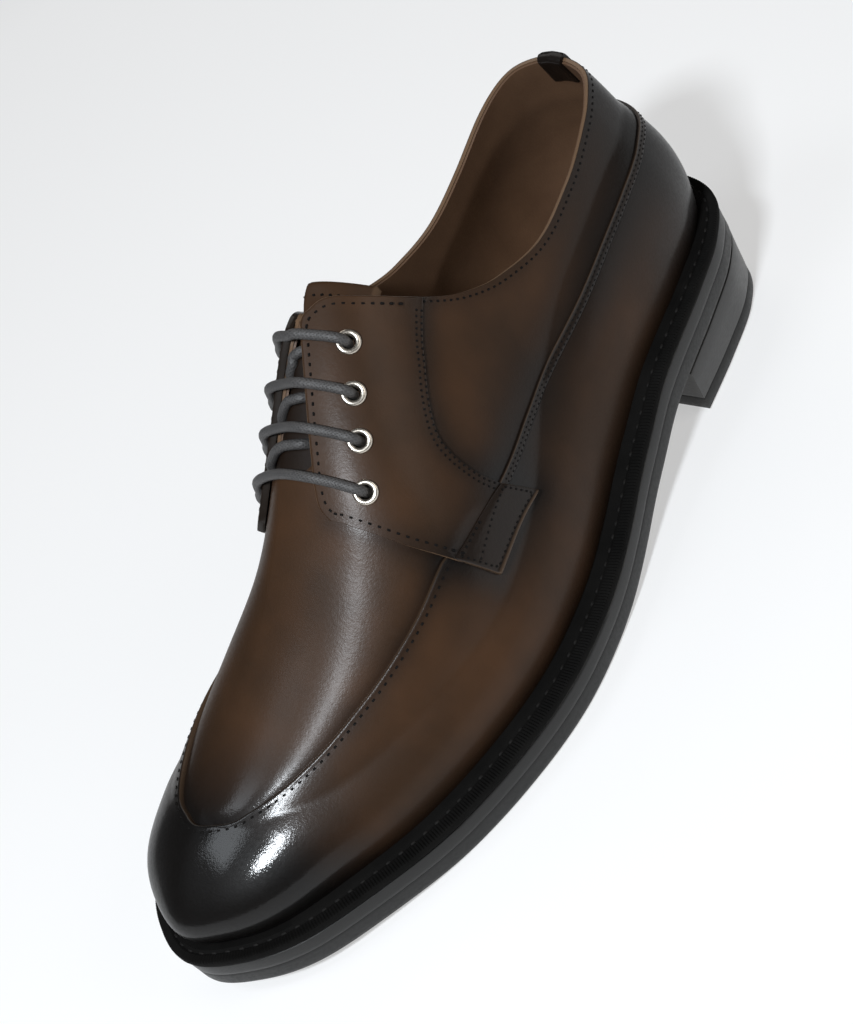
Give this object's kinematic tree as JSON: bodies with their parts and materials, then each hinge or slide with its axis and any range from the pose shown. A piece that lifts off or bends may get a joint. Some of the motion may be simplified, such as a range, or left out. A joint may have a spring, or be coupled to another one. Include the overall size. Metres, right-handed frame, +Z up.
{
  "type": "u-tip derby shoe",
  "caption": "Left leather derby dress shoe with a U-shaped apron seam, open lacing, an all-round stitched welt and a stacked block heel.",
  "frame": {"origin": "centre of the sole outline on the floor", "axes": "+Z up, toe towards -Y, heel towards +Y, outer side of the left foot at +X"},
  "size_m": [0.1139, 0.3022, 0.1275],
  "materials": {
    "leather": "polished dark brown calf, burnished darker at toe and heel",
    "lining": "matt tan lining leather",
    "sole_edge": "black inked and waxed edge",
    "heel": "black inked stacked leather",
    "rubber": "matt black rubber",
    "eyelet": "nickel-plated, satin",
    "lace": "waxed round charcoal cotton"
  },
  "bodies": {
    "root": {"outsole": "rubber", "midsole": "sole_edge", "welt": "sole_edge", "heel_stack": "heel", "heel_lift": "rubber", "insole": "lining", "upper": "leather", "facing_lateral": "leather", "facing_medial": "leather", "tab_lateral": "leather", "tab_medial": "leather", "strap": "leather", "pull_tab": "leather", "tongue": "leather", "eyelet_lateral_1": "eyelet", "eyelet_lateral_2": "eyelet", "eyelet_lateral_3": "eyelet", "eyelet_lateral_4": "eyelet", "eyelet_medial_1": "eyelet", "eyelet_medial_2": "eyelet", "eyelet_medial_3": "eyelet", "eyelet_medial_4": "eyelet", "lace_bar_1": "lace", "lace_bar_2": "lace", "lace_bar_3": "lace", "lace_bar_4": "lace", "lace_cross_1": "lace", "lace_cross_2": "lace", "lace_cross_3": "lace"}
  },
  "joints": []
}
